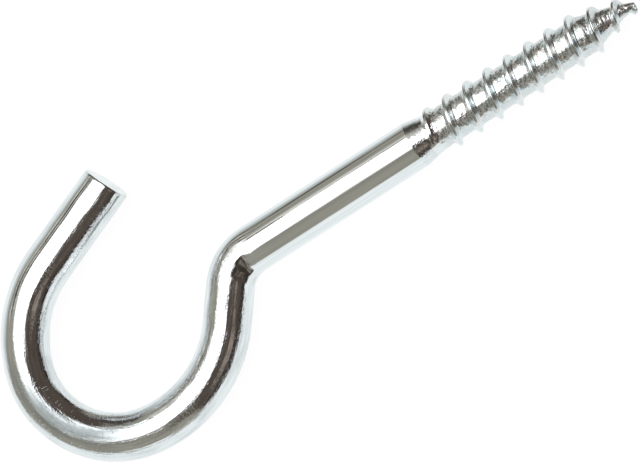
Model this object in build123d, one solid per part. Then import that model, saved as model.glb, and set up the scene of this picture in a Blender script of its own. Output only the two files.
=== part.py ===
"""Screw hook, bent and thread-rolled from one piece of zinc-plated steel wire.

It lies flat, with the wire's plane level. +X runs along the shank to the point, +Y to the side where
the bow is open, and +Z is up. The origin is on the surface that the hook lies on, below the middle of
its box. All sizes are in millimetres.
"""
from build123d import *
import math
import os

# Wire
wire_diameter = 5.4

# Hook, from the shank round to the free end
shank_length = 21.23
crank_radius = 5.46
crank_turn = 51.8
crank_run = 4.13
bow_radii = (14.32, 9.66, 13.87)
bow_turns = (62.3, 96.9, 51.1)
arm_length = 11.16

# Sheared end of the arm, a little out of square
shear_skew = 3.0
shear_edge = 0.28
shear_allowance = 3.0

# Neck, where the wire is drawn down to the blank that the thread is rolled on
neck_length = 1.68
blank_diameter = 4.75

# Rolled wood-screw thread
thread_length = 27.04
thread_pitch = 2.656
crest_diameter = 5.72
root_diameter = 4.36
run_in_length = 1.75
taper_length = 6.34
tip_root_diameter = 0.55
tip_crest_diameter = 1.75

# Ridge of the thread: half widths at the crest, at the knee of the flank and at the buried foot
left_hand = True
ridge_half_crest = 0.17
ridge_half_knee = 0.31
ridge_half_foot = 0.66
ridge_knee_height = 0.3
ridge_foot_depth = 0.08
ridge_tip_width = 0.6

# Course of the ridge, in turns from where its crest first comes to the +Y side of the shank
ridge_first_crest = 1.34
ridge_start_turn = -0.36
ridge_full_turn = 0.12
ridge_end_turn = 9.5
ridge_buried_height = 0.05

# The ridge's surface is made in patches of about a turn, each through this many sections
patches_per_turn = 1
sections_per_patch = 17

wire_radius = wire_diameter / 2
crank_x = 0.0
neck_x = crank_x + shank_length
thread_x = neck_x + neck_length
root_x = thread_x + run_in_length
tip_x = thread_x + thread_length
taper_x = tip_x - taper_length


def between(start, end, share):
    """The value that lies the given share of the way from start to end, held inside them."""
    return start + (end - start) * min(max(share, 0.0), 1.0)


def taper_share(x):
    """How far along the taper of the point x lies, from 0 where it starts to 1 at the tip."""
    return (x - taper_x) / taper_length


def root_radius(x):
    """Radius of the core between the ridges, from the blank's own size down to the point."""
    if x < root_x:
        return between(blank_diameter, root_diameter, (x - thread_x) / run_in_length) / 2
    return between(root_diameter, tip_root_diameter, taper_share(x)) / 2


def crest_radius(x):
    """Radius of the ridge's crest, without the run-in at its start."""
    return between(crest_diameter, tip_crest_diameter, taper_share(x)) / 2


def centreline():
    """The wire's middle line from the foot of the shank, round the crank and the bow and up the arm."""
    with BuildLine() as line:
        crank = JernArc(start=(crank_x, 0), tangent=(-1, 0), radius=crank_radius, arc_size=crank_turn)
        run = Line(crank @ 1, crank @ 1 + (crank % 1) * crank_run)
        last = run
        for radius, turn in zip(bow_radii, bow_turns):
            last = JernArc(start=last @ 1, tangent=last % 1, radius=radius, arc_size=-turn)
        Line(last @ 1, last @ 1 + (last % 1) * (arm_length + shear_allowance))
    return line.wire()


def bent_wire():
    """The crank, the bow and the arm, with the arm's end sheared off and its rim rolled over."""
    path = centreline()
    section = Plane(origin=path @ 0, x_dir=(0, 1, 0), z_dir=path % 0) * Circle(wire_radius)
    wire = sweep(section, path=path)
    along = path % 1
    end = path @ 1 - along * shear_allowance
    normal = along.rotate(Axis.Z, -shear_skew)
    offcut = extrude(Rectangle(2 * wire_diameter, 2 * wire_diameter), 2 * shear_allowance)
    wire -= Plane(origin=end, z_dir=normal) * offcut
    rim = wire.faces().sort_by_distance(end)[0].edges()
    return chamfer(rim, shear_edge)


def turned_blank():
    """The straight shank, the neck and the thread's core with its tapered point."""
    profile = [(crank_x, 0), (crank_x, wire_radius), (neck_x, wire_radius)]
    profile += [(x, root_radius(x)) for x in (thread_x, root_x, taper_x, tip_x)]
    profile.append((tip_x, 0))
    half_section = make_face(Polyline(*profile, close=True))
    return revolve(half_section, axis=Axis.X)


def ridge_middle(turn):
    """Where along the shank the middle of the ridge lies after so many turns."""
    return thread_x + ridge_first_crest + thread_pitch * turn


def ridge_profile(turn):
    """The ridge's section at one turn: points (x, radius) from the rear foot over the crest to the front."""
    middle = ridge_middle(turn)
    share = taper_share(middle)
    width = between(1.0, ridge_tip_width, share)
    run_in = (turn - ridge_start_turn) / (ridge_full_turn - ridge_start_turn)
    height = between(ridge_buried_height, 1.0, run_in)
    root = root_radius(middle)
    crest = root + (crest_radius(middle) - root) * height
    knee = root + ridge_knee_height * height
    rear_foot = middle - ridge_half_foot * width
    front_foot = middle + ridge_half_foot * width
    return [
        (rear_foot, root_radius(rear_foot) - ridge_foot_depth),
        (middle - ridge_half_knee * width, knee),
        (middle - ridge_half_crest * width, crest),
        (middle + ridge_half_crest * width, crest),
        (middle + ridge_half_knee * width, knee),
        (front_foot, root_radius(front_foot) - ridge_foot_depth),
    ]


def on_thread(x, radius, turn):
    """A point of the thread in space. Turn 0 is on the +Y side of the shank."""
    angle = math.tau * turn * (-1 if left_hand else 1)
    return Vector(x, radius * math.cos(angle), radius * math.sin(angle))


def ridge_section(turn):
    """The ridge's section at one turn, in space."""
    return [on_thread(x, radius, turn) for x, radius in ridge_profile(turn)]


def ridge_patch(first_turn, last_turn):
    """The faces of the ridge between two turns: its flanks, its crest and its buried underside."""
    last = sections_per_patch - 1
    turns = [between(first_turn, last_turn, number / last) for number in range(sections_per_patch)]
    sections = [ridge_section(turn) for turn in turns]
    edges = [Edge.make_spline(list(line)) for line in zip(*sections)]
    neighbours = zip(edges, edges[1:] + edges[:1])
    return [Face.make_surface_from_curves(one, other) for one, other in neighbours]


def thread_ridge():
    """The rolled ridge as one solid, wound round the core from its run-in to the point."""
    patches = math.ceil((ridge_end_turn - ridge_start_turn) * patches_per_turn)
    limits = [between(ridge_start_turn, ridge_end_turn, step / patches) for step in range(patches + 1)]
    faces = []
    for first_turn, last_turn in zip(limits, limits[1:]):
        faces += ridge_patch(first_turn, last_turn)
    for turn in (ridge_start_turn, ridge_end_turn):
        faces.append(Face(Wire.make_polygon(ridge_section(turn), close=True)))
    ridge = Solid(Shell(faces))
    return ridge.fix()


def screw_hook():
    """The whole hook, moved so that its box stands on the origin."""
    hook = bent_wire() + turned_blank() + thread_ridge()
    hook = hook.solid()
    box = hook.bounding_box()
    return Pos(-box.center().X, -box.center().Y, -box.min.Z) * hook


if __name__ == "__main__":
    os.makedirs("parts", exist_ok=True)
    part = screw_hook()
    size = part.bounding_box().size
    print(f"screw_hook: {size.X:.2f} x {size.Y:.2f} x {size.Z:.2f} mm")
    print(f"{part.volume:.1f} mm3, valid {part.is_valid}")
    export_step(part, "parts/screw_hook.step")
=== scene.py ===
"""A screw hook of zinc-plated steel wire, dressed over its CAD frame.

It lies on a white table and the camera looks down on it. Lengths are in metres. +X runs along the shank
to the point, +Y to the side where the bow is open, and +Z is up.
"""
import math

import bpy
import numpy as np
from mathutils import Matrix, Vector, noise


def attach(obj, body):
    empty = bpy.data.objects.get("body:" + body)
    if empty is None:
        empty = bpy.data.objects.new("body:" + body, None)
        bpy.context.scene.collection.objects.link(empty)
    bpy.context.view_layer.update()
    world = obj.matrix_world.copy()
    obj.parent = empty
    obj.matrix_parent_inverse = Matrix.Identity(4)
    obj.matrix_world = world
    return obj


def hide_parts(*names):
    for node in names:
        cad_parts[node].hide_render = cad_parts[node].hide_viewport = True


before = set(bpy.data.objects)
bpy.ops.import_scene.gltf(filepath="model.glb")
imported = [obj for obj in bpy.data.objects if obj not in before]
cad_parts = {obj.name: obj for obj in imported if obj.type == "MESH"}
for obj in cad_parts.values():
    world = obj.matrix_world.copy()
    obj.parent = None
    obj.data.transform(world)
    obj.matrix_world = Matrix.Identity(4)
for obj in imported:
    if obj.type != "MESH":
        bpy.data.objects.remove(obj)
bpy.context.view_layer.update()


# The wire. Low-carbon steel, drawn to 5.4 mm and bent cold in one piece: a crank below the shank, the bow
# in three radii, and the straight arm up to the free end. Each bend has its radius and its turn in degrees.
mm = 0.001
wire_radius = 2.7 * mm
wire_height = 2.8631 * mm
shank_foot = (-9.3213 * mm, -1.8243 * mm)
crank = (5.46 * mm, 51.8)
crank_run = 4.13 * mm
bow = ((14.32 * mm, -62.3), (9.66 * mm, -96.9), (13.87 * mm, -51.1))
arm_length = 11.16 * mm


def arc(radius, turn):
    """One bend as its length along the wire's middle and its curvature, positive to the left."""
    return radius * math.radians(abs(turn)), math.copysign(1 / radius, turn)


legs = [arc(*crank), (crank_run, 0.0), *(arc(*bend) for bend in bow), (arm_length, 0.0)]
bent_length = sum(length for length, curvature in legs)


def course(distance):
    """Where the wire's middle lies so far back from the shank's foot, and which way it heads there."""
    x, y = shank_foot
    heading = math.pi
    for number, (length, curvature) in enumerate(legs):
        run = distance if number == len(legs) - 1 else min(distance, length)
        turned = heading + run * curvature
        if curvature:
            x += (math.sin(turned) - math.sin(heading)) / curvature
            y -= (math.cos(turned) - math.cos(heading)) / curvature
        else:
            x += run * math.cos(heading)
            y += run * math.sin(heading)
        heading = turned
        distance -= run
        if distance <= 0:
            break
    return x, y, heading


# The neck and the thread's core. Past the shank the wire is reduced to the blank that the thread is
# rolled on, and the core runs out in a point that the rolling dies have pinched off. Places along the
# straightened wire count from the shank's foot, up to the point and with a minus back round the bow.
neck_start = 21.23 * mm
neck_length = 1.68 * mm
blank_radius = 2.375 * mm
core_radius = 2.18 * mm
run_in_length = 1.75 * mm
thread_length = 27.04 * mm
taper_length = 6.34 * mm
tip_core_radius = 0.3 * mm
thread_start = neck_start + neck_length
core_start = thread_start + run_in_length
tip = thread_start + thread_length
taper_start = tip - taper_length


def core(along):
    """Radius of the plain wire and of the core between the ridges, along the straightened wire."""
    places = (neck_start, thread_start, core_start, taper_start, tip)
    return np.interp(along, places, (wire_radius, blank_radius, core_radius, core_radius, tip_core_radius))


# The thread. One ridge is rolled up out of the blank, wound left-handed ten times round it, with hollow
# flanks, a start that rises out of the blank within half a turn, and along its crest the fine groove where
# the metal pushed up from both sides has met.
pitch = 2.656 * mm
first_crest = 1.34 * mm
crest_radius = 2.85 * mm
tip_crest_radius = 0.85 * mm
crest_half_width = 0.15 * mm
flank_width = 0.47 * mm
flank_hollow = 1.45
tip_narrowing = 0.35
groove_half_width = 0.08 * mm
groove_depth = 0.022 * mm
start_turn, full_turn, fade_turn, end_turn = -0.36, 0.12, 9.6, 9.8


def rise(value, start, end):
    """A smooth step from 0 at start to 1 at end."""
    share = np.clip((value - start) / (end - start), 0.0, 1.0)
    return share * share * (3 - 2 * share)


def ridge(along, angle):
    """How far the ridge stands over the core at a place on the straightened wire."""
    turns = (along - thread_start - first_crest) / pitch + angle / math.tau
    whole = np.round(turns)
    off_middle = np.abs(turns - whole) * pitch
    turn = whole - angle / math.tau
    taper = np.clip((along - taper_start) / taper_length, 0.0, 1.0)
    width = 1 - tip_narrowing * taper
    flank = np.clip((off_middle - crest_half_width * width) / (flank_width * width), 0.0, 1.0)
    height = crest_radius + (tip_crest_radius - crest_radius) * taper - core(along)
    there = rise(turn, start_turn, full_turn) * (1 - rise(turn, fade_turn, end_turn))
    groove = groove_depth * (1 - rise(off_middle, 0.0, groove_half_width))
    return there * (height * (1 - flank) ** flank_hollow - groove)


# What the tools have left on the steel. The rolling dies mottle the roots, and bending leaves the wire a
# little wavy. Where the crank was folded, its inside is creased, with a steep lip towards the shank and a
# long slope behind, and its outside has a flatter spot.
root_grain = 0.36 * mm
finer_share = 0.4
root_foot = 0.25 * mm
root_depth = 0.03 * mm
point_depth = 0.022 * mm
point_blend = 1.5 * mm
clean_tip = 1.2 * mm
wave_size = 2.6 * mm
wave_depth = 0.012 * mm
wave_end = (-1.0 * mm, 0.5 * mm)
crank_inside = math.radians(112)
crank_spread = math.radians(26)
least_spread = 0.2
crease_lip, crease_floor, crease_end = -0.45 * mm, -1.4 * mm, -4.2 * mm
crease_depth = 0.3 * mm
push_up_middle, push_up_length, push_up_height = -2.6 * mm, 0.4 * mm, 0.05 * mm
dip_middle, dip_length, dip_depth = -3.4 * mm, 0.45 * mm, 0.03 * mm
fold_slant = 0.4 * mm
fold_waver = 0.2 * mm
fold_grain = 0.9 * mm
flat_middle, flat_length, flat_depth = -1.1 * mm, 1.3 * mm, 0.15 * mm
crank_outside = math.radians(70)
outside_spread = 0.5


def hump(value, spread):
    """A soft hump, 1 in its middle at 0."""
    return np.exp(-((value / spread) ** 2))


def grained(along, angle, radius, size):
    """Smooth noise of about -1 to 1 on the straightened wire, with grains of one size."""
    return np.array(
        [
            noise.noise(Vector((x, r * math.cos(a), r * math.sin(a))) / size) * 2
            for x, a, r in zip(along.flat, angle.flat, radius.flat)
        ]
    ).reshape(along.shape)


def marks(along, angle, ridge_height, radius):
    """How far the surface stands off its true form."""
    root = rise(along, thread_start, core_start) * (1 - rise(ridge_height, 0.0, root_foot))
    near_point = rise(along, taper_start, taper_start + point_blend)
    mottle = (root_depth + (point_depth - root_depth) * near_point) * (1 - rise(along, tip - clean_tip, tip))
    fine = grained(along, angle, radius, root_grain)
    fine += finer_share * grained(along, angle, radius, root_grain / 2)
    bent = 1 - rise(along, *wave_end)
    wave = grained(along, angle, radius, wave_size)
    off = root * mottle * fine + bent * wave_depth * (np.minimum(wave, 1.0) - 1.0)
    inside = rise(hump(angle - crank_inside, crank_spread), least_spread, 1.0)
    folded = along + fold_slant * (angle - crank_inside)
    folded += fold_waver * grained(along, angle, radius, fold_grain)
    lip = 1 - rise(folded, crease_floor, crease_lip)
    off -= crease_depth * inside * lip * rise(folded, crease_end, crease_floor)
    off += push_up_height * inside * hump(folded - push_up_middle, push_up_length)
    off -= dip_depth * inside * hump(folded - dip_middle, dip_length)
    outside = hump(angle - crank_outside, outside_spread)
    return off - flat_depth * outside * hump(along - flat_middle, flat_length)


# The whole hook as one skin, as the real one is one piece: rings of points round the wire's course, close
# together at the crank and the thread. It is closed by the sheared face at the arm's end, a little out of
# square and with a rolled-over rim, and by the point, which was bent over as it was pinched off.
columns = 72
edge = 0.02 * mm
plain_step = 0.4 * mm
close_step = 0.12 * mm
neck_step = 0.15 * mm
end_tilt = math.radians(-1.5)
end_skew = math.radians(-3.0)
end_rounding = 0.28 * mm
end_run = 2.5 * mm
end_face_rings = (0.2, 0.4, 0.6, 0.8, 0.93, 1.0)
end_rim_rings = (22.5, 45.0, 67.5)
pinch = 0.05 * mm
tip_lean = ((0.0, 0.0), (0.45, 0.06 * mm), (0.8, 0.08 * mm), (0.93, 0.16 * mm), (1.0, -0.12 * mm))


def stations(start, end, step):
    """Places from start to end, about a step apart, without the last one."""
    return list(np.linspace(start, end, max(1, round((end - start) / step)), endpoint=False))


crank_end = -legs[0][0] - crank_run
along = np.array(
    stations(-bent_length, -bent_length + end_run, close_step)
    + stations(-bent_length + end_run, crank_end, plain_step)
    + stations(crank_end, plain_step, close_step)
    + stations(plain_step, neck_start - 3 * edge, plain_step)
    + [neck_start - 3 * edge, neck_start - edge, neck_start + edge]
    + stations(neck_start + 4 * edge, thread_start - 3 * edge, neck_step)
    + [thread_start - edge, thread_start + edge]
    + stations(thread_start + 2 * edge, tip - pinch, pitch / columns)
    + [tip - pinch]
)
angles = np.arange(columns) * math.tau / columns
along_grid, angle_grid = np.meshgrid(along, angles, indexing="ij")
ridge_grid = ridge(along_grid, angle_grid)
radius_grid = core(along_grid) + ridge_grid
radius_grid += marks(along_grid, angle_grid, ridge_grid, radius_grid)


def place(distance, radius, angle):
    """A point of the skin: radius and angle round the wire's middle, at a place along the wire."""
    if distance < 0:
        x, y, heading = course(-distance)
        side = (math.sin(heading), -math.cos(heading))
    else:
        share = (distance - thread_start) / thread_length
        lean = np.interp(share, *zip(*tip_lean))
        x, y = shank_foot[0] + distance, shank_foot[1] + lean
        side = (0.0, 1.0)
    across = radius * math.cos(angle)
    return x + side[0] * across, y + side[1] * across, wire_height + radius * math.sin(angle)


def shear(distance, radius, angle):
    """The place along the wire, leaned over towards the sheared face as the arm's end comes near."""
    share = 1 - rise(distance, -bent_length, -bent_length + end_run)
    lean = radius * (math.sin(angle) * math.tan(end_tilt) + math.cos(angle) * math.tan(end_skew))
    return distance + share * lean


points = []
drawn = []


def add_ring(distance, radii, inset=0.0):
    """One ring of points, with each point's place on the straightened wire beside it."""
    for angle, radius in zip(angles, radii):
        if distance < -bent_length + end_run:
            distance_here = shear(distance, radius, angle) + inset
        else:
            distance_here = distance
        points.append(place(distance_here, radius, angle))
        drawn.append((distance_here, radius * math.cos(angle), radius * math.sin(angle)))


points.append(place(-bent_length, 0.0, 0.0))
drawn.append((-bent_length, 0.0, 0.0))
face_radius = wire_radius - end_rounding
for share in end_face_rings:
    add_ring(-bent_length, [face_radius * share] * columns)
for bend in end_rim_rings:
    turn = math.radians(bend)
    rim = face_radius + end_rounding * math.sin(turn)
    add_ring(-bent_length, [rim] * columns, end_rounding * (1 - math.cos(turn)))
first_body = int(np.searchsorted(along, -bent_length + end_rounding))
for distance, radii in zip(along[first_body:], radius_grid[first_body:]):
    add_ring(distance, radii)
points.append(place(tip, 0.0, 0.0))
drawn.append((tip, 0.0, 0.0))

ring_count = (len(points) - 2) // columns
faces = []
for column in range(columns):
    following = (column + 1) % columns
    faces.append((0, 1 + following, 1 + column))
    for ring in range(ring_count - 1):
        here, there = 1 + ring * columns, 1 + (ring + 1) * columns
        a, b, c, d = here + column, here + following, there + following, there + column
        faces += [(a, b, d), (b, c, d)]
    last = 1 + (ring_count - 1) * columns
    faces.append((last + column, last + following, len(points) - 1))

skin = bpy.data.meshes.new("hook_skin")
skin.from_pydata(points, [], faces)
skin.polygons.foreach_set("use_smooth", [True] * len(faces))
skin.attributes.new("drawn", "FLOAT_VECTOR", "POINT")
skin.attributes["drawn"].data.foreach_set("vector", np.array(drawn, np.float32).ravel())
skin.update()
hook = bpy.data.objects.new("hook_wire", skin)
bpy.context.scene.collection.objects.link(hook)
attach(hook, "root")
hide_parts("screw_hook")


# Bright zinc plating, electroplated over the drawn and rolled steel. It mirrors the studio almost sharply
# on the shank, and breaks it up where the steel under the thin coat is lined, pitted or rubbed. Every
# pattern lies on the straightened wire, so it runs round the bends as the wire does.
def linear(colour):
    """An sRGB hex colour as the linear values that the shaders take."""
    parts = [int(colour[place : place + 2], 16) / 255 for place in (1, 3, 5)]
    return [part / 12.92 if part <= 0.04045 else ((part + 0.055) / 1.055) ** 2.4 for part in parts] + [1.0]


def add(tree, kind, sockets, **settings):
    """Adds one node, links or sets its sockets, makes its settings, and gives its first output in use."""
    node = tree.nodes.new(kind)
    for name, value in settings.items():
        setattr(node, name, value)
    for name, value in sockets.items():
        if isinstance(value, bpy.types.NodeSocket):
            tree.links.new(value, node.inputs[name])
        else:
            node.inputs[name].default_value = value
    return next((output for output in node.outputs if output.enabled), None)


# A mix of colours has its share on socket 0 and its two colours on these.
from_colour, to_colour = 6, 7

zinc = bpy.data.materials.new("bright_zinc_on_drawn_steel")
zinc.use_nodes = True
tree = zinc.node_tree
tree.nodes.clear()
straightened = add(tree, "ShaderNodeAttribute", {}, attribute_name="drawn").node.outputs["Vector"]
parts = add(tree, "ShaderNodeSeparateXYZ", {"Vector": straightened}).node.outputs
place_along, width_over_middle, height_over_middle = parts["X"], parts["Y"], parts["Z"]
off_axis = add(tree, "ShaderNodeVectorMath", {0: straightened, 1: (0.0, 1.0, 1.0)}, operation="MULTIPLY")
from_axis = add(tree, "ShaderNodeVectorMath", {0: off_axis}, operation="LENGTH")


def grain(along_size, across_size, detail, shift):
    """The steel's grain as noise of 0 to 1, so long along the wire and so wide across it."""
    scale = (1 / along_size, 1 / across_size, 1 / across_size)
    placed = {"Vector": straightened, "Scale": scale, "Location": (shift, shift, shift)}
    at = add(tree, "ShaderNodeMapping", placed)
    return add(tree, "ShaderNodeTexNoise", {"Vector": at, "Scale": 1.0, "Detail": detail})


# The grains. The drawing die's lines are really some 0.02 mm wide, the pits 0.05 mm and the ticks 0.03 mm,
# which is too fine to show. They are drawn as coarse as they need to be, about two pixels of the render.
lines = grain(9.0 * mm, 0.22 * mm, detail=3.0, shift=0.0)
streaks = grain(5.0 * mm, 0.4 * mm, detail=2.0, shift=51.0)
pits = grain(0.26 * mm, 0.2 * mm, detail=2.0, shift=7.0)
wear = grain(3.5 * mm, 1.1 * mm, detail=1.0, shift=3.0)
tick_grain = grain(0.14 * mm, 0.55 * mm, detail=0.0, shift=11.0)
rub_grain = grain(1.6 * mm, 0.4 * mm, detail=3.0, shift=31.0)
# The ragged edge of the painted shade over the crank's crease.
crease_shade_grain = grain(0.5 * mm, 0.35 * mm, detail=3.0, shift=41.0)
tint_grain = grain(0.7 * mm, 0.9 * mm, detail=1.0, shift=5.0)

# Where the grain has opened. Bending opens it from the crank on, most where the wire is worn, and rolling
# opens it in the roots and on the neck. The outer side of the arm has kept its clean lines.
bend_start, bend_full = -0.5 * mm, -2.5 * mm
arm_start, arm_full = -40.0 * mm, -46.0 * mm
arm_edge, arm_side = 0.5 * mm, -0.2 * mm
arm_opened = 0.15
least_wear, most_wear = 0.4, 0.62
least_opened = 0.3
root_floor = 0.05 * mm
arm_share = add(
    tree,
    "ShaderNodeMapRange",
    {"Value": place_along, "From Min": arm_start, "From Max": arm_full, "To Min": 1.0, "To Max": arm_opened},
)
off_arm = add(
    tree,
    "ShaderNodeMapRange",
    {
        "Value": width_over_middle,
        "From Min": arm_edge,
        "From Max": arm_side,
        "To Min": 1.0,
        "To Max": arm_share,
    },
)
bent = add(tree, "ShaderNodeMapRange", {"Value": place_along, "From Min": bend_start, "From Max": bend_full})
bent_open = add(tree, "ShaderNodeMath", {0: bent, 1: off_arm}, operation="MULTIPLY")
bent_worn = add(
    tree,
    "ShaderNodeMapRange",
    {"Value": wear, "From Min": least_wear, "From Max": most_wear, "To Max": bent},
)
opened = add(
    tree,
    "ShaderNodeMapRange",
    {"Value": wear, "From Min": least_wear, "From Max": most_wear, "To Min": least_opened, "To Max": 1.0},
)
on_thread = add(
    tree,
    "ShaderNodeMapRange",
    {"Value": place_along, "From Min": thread_start, "From Max": core_start},
)
in_root = add(
    tree,
    "ShaderNodeMapRange",
    {
        "Value": from_axis,
        "From Min": core_radius + root_foot,
        "From Max": core_radius + root_floor,
        "To Max": on_thread,
    },
)
before_thread = add(
    tree,
    "ShaderNodeMapRange",
    {"Value": place_along, "From Min": thread_start, "From Max": thread_start - edge},
)
on_neck = add(
    tree,
    "ShaderNodeMapRange",
    {"Value": place_along, "From Min": neck_start, "From Max": neck_start + edge, "To Max": before_thread},
)
rough_part = add(tree, "ShaderNodeMath", {0: bent_open, 1: opened}, operation="MULTIPLY")
for rolled_part in (in_root, on_neck):
    rough_part = add(tree, "ShaderNodeMath", {0: rough_part, 1: rolled_part}, operation="MAXIMUM")
pitted = add(tree, "ShaderNodeMath", {0: pits, 1: rough_part}, operation="MULTIPLY")
streaks_open = add(tree, "ShaderNodeMath", {0: streaks, 1: bent_open}, operation="MULTIPLY")

# The ticks: short scratches across the wire, thick at the bottom of the bow and few on the rest of it.
ticks_start, ticks_full_start = -24.0 * mm, -28.0 * mm
ticks_full_end, ticks_end = -38.0 * mm, -42.0 * mm
few = 0.35
tick_foot, tick_top = 0.73, 0.77
ticked = add(
    tree,
    "ShaderNodeMapRange",
    {"Value": place_along, "From Min": ticks_end, "From Max": ticks_full_end},
)
ticked = add(
    tree,
    "ShaderNodeMapRange",
    {"Value": place_along, "From Min": ticks_start, "From Max": ticks_full_start, "To Max": ticked},
)
few_ticks = add(tree, "ShaderNodeMath", {0: bent_worn, 1: few}, operation="MULTIPLY")
ticked = add(tree, "ShaderNodeMath", {0: ticked, 1: few_ticks}, operation="MAXIMUM")
ticks = add(
    tree,
    "ShaderNodeMapRange",
    {"Value": tick_grain, "From Min": tick_foot, "From Max": tick_top, "To Max": ticked},
)

# The rubbed patch: a dull, bluish strip with ragged edges on the top of the bow's bottom, which crosses
# over slowly from the inside of the bend to its outside.
rub_slope, rub_offset = 0.098, 3.25 * mm
rub_ragged = 1.0 * mm
rub_edge, rub_full = 1.75 * mm, 0.85 * mm
rub_start, rub_full_start = -23.5 * mm, -30.0 * mm
rub_full_end, rub_end = -37.0 * mm, -42.5 * mm
rub_foot, rub_top = 0.0, 0.5 * mm
rub_line = {0: place_along, 1: rub_slope, 2: rub_offset}
rub_middle = add(tree, "ShaderNodeMath", rub_line, operation="MULTIPLY_ADD")
off_rub = add(tree, "ShaderNodeMath", {0: width_over_middle, 1: rub_middle}, operation="SUBTRACT")
off_rub = add(tree, "ShaderNodeMath", {0: off_rub}, operation="ABSOLUTE")
rub_border = {0: rub_grain, 1: rub_ragged, 2: off_rub}
off_rub = add(tree, "ShaderNodeMath", rub_border, operation="MULTIPLY_ADD")
rubbed = add(tree, "ShaderNodeMapRange", {"Value": off_rub, "From Min": rub_edge, "From Max": rub_full})
for value, none, full in (
    (place_along, rub_start, rub_full_start),
    (place_along, rub_end, rub_full_end),
    (height_over_middle, rub_foot, rub_top),
):
    rubbed = add(
        tree,
        "ShaderNodeMapRange",
        {"Value": value, "From Min": none, "From Max": full, "To Max": rubbed},
    )

# Painted shade: a dark, ragged patch over the crease on the crank's inside.
crease_shade_middle = (-2.4 * mm, -0.3 * wire_radius, 0.95 * wire_radius)
crease_shade_ragged = 2.2 * mm
crease_shade_edge, crease_shade_full = 2.6 * mm, 2.0 * mm
off_crease_shade = add(tree, "ShaderNodeVectorMath", {0: straightened, 1: crease_shade_middle}, operation="DISTANCE")
crease_shade_border = {0: crease_shade_grain, 1: crease_shade_ragged, 2: off_crease_shade}
off_crease_shade = add(tree, "ShaderNodeMath", crease_shade_border, operation="MULTIPLY_ADD")
crease_shaded = add(
    tree,
    "ShaderNodeMapRange",
    {"Value": off_crease_shade, "From Min": crease_shade_edge, "From Max": crease_shade_full},
)

# The relief. The marks are deeper than real ones, in step with their coarser drawing.
line_depth, streak_depth, pit_depth, tick_depth = 0.006 * mm, 0.035 * mm, 0.024 * mm, 0.01 * mm
normal = add(tree, "ShaderNodeBump", {"Height": lines, "Distance": line_depth})
for height, depth in ((streaks_open, streak_depth), (pitted, pit_depth), (ticks, tick_depth)):
    normal = add(tree, "ShaderNodeBump", {"Height": height, "Distance": depth, "Normal": normal})

# The roughness: bright between the drawing lines, and as dull as the dullest mark in each place.
line_foot, line_top, bright, lined = 0.35, 0.72, 0.05, 0.15
root_pit_foot, root_pit_top, root_bright, root_dull = 0.35, 0.6, 0.16, 0.36
pit_foot, pit_top, pit_dull = 0.4, 0.62, 0.22
ticks_dull, rubbed_dull, thread_dull, neck_dull = 0.4, 0.5, 0.2, 0.1
roughness = add(
    tree,
    "ShaderNodeMapRange",
    {"Value": lines, "From Min": line_foot, "From Max": line_top, "To Min": bright, "To Max": lined},
)
in_root_dull = add(
    tree,
    "ShaderNodeMapRange",
    {
        "Value": pits,
        "From Min": root_pit_foot,
        "From Max": root_pit_top,
        "To Min": root_bright,
        "To Max": root_dull,
    },
)
in_pit_dull = add(
    tree,
    "ShaderNodeMapRange",
    {"Value": pits, "From Min": pit_foot, "From Max": pit_top, "To Max": pit_dull},
)
for mark, dull in (
    (ticks, ticks_dull),
    (rubbed, rubbed_dull),
    (in_root, in_root_dull),
    (on_thread, thread_dull),
    (rough_part, in_pit_dull),
    (on_neck, neck_dull),
):
    dulled = add(tree, "ShaderNodeMath", {0: mark, 1: dull}, operation="MULTIPLY")
    roughness = add(tree, "ShaderNodeMath", {0: roughness, 1: dulled}, operation="MAXIMUM")

# The plating's colour: a pale, hardly blue white, with the faint warm and cool tints of its passivation on
# the thread, darker by each mark's own tone, and darker still by painted shade over the crank's crease.
zinc_plain = linear("#ebeff1")
zinc_rubbed = linear("#e0ebee")
zinc_warm = linear("#f8e6e2")
zinc_cool = linear("#d2eef3")
tint_share = 0.8
line_tone_foot, line_tone_top, line_tone = 0.32, 0.62, 0.89
streak_foot, streak_top = 0.42, 0.6
pitted_foot, pitted_top = 0.2, 0.6
# The darkest tone, over the crank's crease, is painted shade.
pitted_tone, rubbed_tone, streaked_tone, crease_shade_tone = 0.92, 0.6, 0.88, 0.55
tone = add(
    tree,
    "ShaderNodeMapRange",
    {
        "Value": lines,
        "From Min": line_tone_foot,
        "From Max": line_tone_top,
        "To Min": line_tone,
        "To Max": 1.0,
    },
)
streaked = add(
    tree,
    "ShaderNodeMapRange",
    {"Value": streaks, "From Min": streak_foot, "From Max": streak_top, "To Max": bent_worn},
)
for mark, foot, top, darkest in (
    (pitted, pitted_foot, pitted_top, pitted_tone),
    (rubbed, 0.0, 1.0, rubbed_tone),
    (streaked, 0.0, 1.0, streaked_tone),
    (crease_shaded, 0.0, 1.0, crease_shade_tone),
):
    darkened = add(
        tree,
        "ShaderNodeMapRange",
        {"Value": mark, "From Min": foot, "From Max": top, "To Min": 1.0, "To Max": darkest},
    )
    tone = add(tree, "ShaderNodeMath", {0: tone, 1: darkened}, operation="MULTIPLY")
tint_colours = {0: tint_grain, from_colour: zinc_warm, to_colour: zinc_cool}
tint = add(tree, "ShaderNodeMix", tint_colours, data_type="RGBA")
coat_colours = {0: rubbed, from_colour: zinc_plain, to_colour: zinc_rubbed}
coat = add(tree, "ShaderNodeMix", coat_colours, data_type="RGBA")
tinted = add(tree, "ShaderNodeMath", {0: on_thread, 1: tint_share}, operation="MULTIPLY")
coat = add(tree, "ShaderNodeMix", {0: tinted, from_colour: coat, to_colour: tint}, data_type="RGBA")
toned = {0: 1.0, from_colour: coat, to_colour: tone}
coat = add(tree, "ShaderNodeMix", toned, data_type="RGBA", blend_type="MULTIPLY")
mirror = {"Base Color": coat, "Metallic": 1.0, "Roughness": roughness, "Normal": normal}
surface = add(tree, "ShaderNodeBsdfPrincipled", mirror)
add(tree, "ShaderNodeOutputMaterial", {"Surface": surface})
skin.materials.append(zinc)


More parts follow.
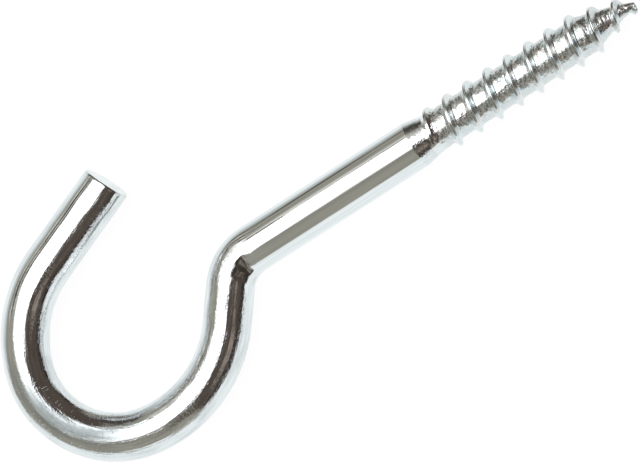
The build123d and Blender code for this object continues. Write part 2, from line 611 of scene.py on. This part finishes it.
# The table: a flat sheet of matt white card. The camera sees it nearly pure white, with a small share of
# plain matt white in it that keeps the hook's shadow. What the metal mirrors is the table in the studio.
table_half = 1.0
table_glow = 1.08
shadow_share = 0.12
card_white = linear("#f4f4f4")
pure_white = linear("#ffffff")
table_mesh = bpy.data.meshes.new("white_table")
corners = [(-table_half, -table_half, 0), (table_half, -table_half, 0), (table_half, table_half, 0)]
table_mesh.from_pydata(corners + [(-table_half, table_half, 0)], [], [(0, 1, 2, 3)])
table = bpy.data.objects.new("white_table", table_mesh)
bpy.context.scene.collection.objects.link(table)
table.visible_glossy = False
sheet = bpy.data.materials.new("white_sheet")
sheet.use_nodes = True
tree = sheet.node_tree
tree.nodes.clear()
matt = add(tree, "ShaderNodeBsdfDiffuse", {"Color": card_white})
white = add(tree, "ShaderNodeEmission", {"Color": pure_white, "Strength": table_glow})
mixed = add(tree, "ShaderNodeMixShader", {0: shadow_share, 1: white, 2: matt})
add(tree, "ShaderNodeOutputMaterial", {"Surface": mixed})
table_mesh.materials.append(sheet)


# The camera. It looks down on the hook from far off, through a long lens, leaning 9.5 degrees towards the
# point, and is turned so that the shank runs up to the right, as in the photograph.
lens_mm = 1000.0
view_width = 69.67 * mm
view_middle = (-2.05 * mm, -4.16 * mm)
nearest, farthest = 0.01, 10.0
camera_lean = math.radians(9.5)
camera_turn = math.radians(-32.66)
camera_data = bpy.data.cameras.new("camera")
camera_data.lens = lens_mm
camera_data.clip_start = nearest
camera_data.clip_end = farthest
camera = bpy.data.objects.new("camera", camera_data)
back = Vector((math.sin(camera_lean), 0.0, math.cos(camera_lean)))
right = Vector((math.cos(camera_lean), 0.0, -math.sin(camera_lean)))
across = right * math.cos(camera_turn) + back.cross(right) * math.sin(camera_turn)
upward = back.cross(across)
stand = Vector((*view_middle, wire_height)) + back * (view_width * lens_mm / camera_data.sensor_width)
camera.matrix_world = Matrix([*zip(across, upward, back, stand), (0.0, 0.0, 0.0, 1.0)])
bpy.context.scene.collection.objects.link(camera)
bpy.context.scene.camera = camera
bpy.context.scene.view_settings.view_transform = "Standard"


# The studio that the hook mirrors, drawn on the world: a large softbox overhead, a dim room round it, and
# the white table below. The photographed hook was propped up to face the camera, so the studio leans over
# with the camera here. All angles are in degrees.
def toward(off_camera, round_picture):
    """The direction so far off the camera's, and turned so far round from the picture's right."""
    off_camera, round_picture = math.radians(off_camera), math.radians(round_picture)
    sideways = across * math.cos(round_picture) + upward * math.sin(round_picture)
    return back * math.cos(off_camera) + sideways * math.sin(off_camera)


world = bpy.data.worlds.new("studio")
bpy.context.scene.world = world
world.use_nodes = True
tree = world.node_tree
tree.nodes.clear()
direction = add(tree, "ShaderNodeTexCoord", {})


def angle_from(middle):
    """The angle between the direction looked in and the middle of a piece of the studio."""
    cosine = add(tree, "ShaderNodeVectorMath", {0: direction, 1: middle}, operation="DOT_PRODUCT")
    radians = add(tree, "ShaderNodeMath", {0: cosine}, operation="ARCCOSINE")
    return add(tree, "ShaderNodeMath", {0: radians}, operation="DEGREES")


def shown(angle, *edges, within=1.0):
    """How much of a piece shows at an angle from its middle: at each edge, from none of it to all of it."""
    for none, full in edges:
        ramp = {"Value": angle, "From Min": none, "From Max": full, "To Max": within}
        within = add(tree, "ShaderNodeMapRange", ramp, interpolation_type="SMOOTHSTEP")
    return within


def bar(start, end):
    """The two edges of a bar that curves round a middle, from one angle to another."""
    return (start, start + bar_softness), (end, end - bar_softness)


# The room, a dark wall beside the hook with its skirting, the light on that wall, and the corner far off.
room = linear("#9e9b90")
side_wall = linear("#564c45")
side_wall_middle, side_wall_edge = toward(46, 20), (64, 60)
skirting = linear("#332e2b")
skirting_edge = (80, 90)
side_light = linear("#9c9085")
side_light_middle, side_light_edge = toward(34, 317), (13, 5)
far_corner = linear("#4f4a45")
far_corner_middle, far_corner_edge = toward(88, 103), (26, 20)

# The white table, which reaches up to the horizon on every side, and the pale wall behind it.
pale_wall = linear("#c9cecd")
table_white = linear("#fbffff")
table_middle, pale_wall_edge, table_edge = toward(148, 163), (50, 44), (42, 24)
studio_top, horizon = toward(30, 141), (96, 102)

# The softbox, with a frame and a pale rim round its far side, a dark line on the wall behind it, and bars of
# dark and light to one side, which give the arm its fine lines. A bar's two numbers say how far from the
# box's middle it starts and ends.
box_strength = 2.4
softbox = [box_strength] * 3 + [1.0]
box_middle, box_fade = toward(33, 157), (37, 27)
box_frame = linear("#6d675c")
box_rim = linear("#e8e4da")
frame_middle, frame_reach = toward(52, 130), (26, 16)
frame_bar, rim_bar = (22, 28), (27, 34)
line_middle, line_reach, line_bar = toward(96, 130), (18, 12), (64, 70)
blind_middle, blind_reach = toward(84, 158), (26, 18)
blind_bars = ((skirting, 34, 39), (box_rim, 40, 44), (skirting, 46, 52), (box_rim, 54, 58))
bar_softness = 1

from_top = angle_from(studio_top)
from_box = angle_from(box_middle)
from_table = angle_from(table_middle)
on_side = shown(angle_from(side_wall_middle), side_wall_edge)
by_frame = shown(angle_from(frame_middle), frame_reach)
by_line = shown(angle_from(line_middle), line_reach)
by_blind = shown(angle_from(blind_middle), blind_reach)

# From the back to the front: each piece's colour, and how much of it shows.
studio_pieces = [
    (side_wall, on_side),
    (skirting, shown(from_top, skirting_edge, within=on_side)),
    (side_light, shown(angle_from(side_light_middle), side_light_edge)),
    (far_corner, shown(angle_from(far_corner_middle), far_corner_edge)),
    (pale_wall, shown(from_table, pale_wall_edge)),
    (table_white, shown(from_table, table_edge)),
    (table_white, shown(from_top, horizon)),
    (softbox, shown(from_box, box_fade)),
    (box_frame, shown(from_box, *bar(*frame_bar), within=by_frame)),
    (box_rim, shown(from_box, *bar(*rim_bar), within=by_frame)),
    (skirting, shown(from_box, *bar(*line_bar), within=by_line)),
]
for colour, start, end in blind_bars:
    studio_pieces.append((colour, shown(from_box, *bar(start, end), within=by_blind)))
view = room
for colour, share in studio_pieces:
    view = add(tree, "ShaderNodeMix", {0: share, from_colour: view, to_colour: colour}, data_type="RGBA")

# The camera itself sees plain white past the table.
seen = add(tree, "ShaderNodeLightPath", {})
view = add(tree, "ShaderNodeMix", {0: seen, from_colour: view, to_colour: pure_white}, data_type="RGBA")
backdrop = add(tree, "ShaderNodeBackground", {"Color": view, "Strength": 1.0})
add(tree, "ShaderNodeOutputWorld", {"Surface": backdrop})
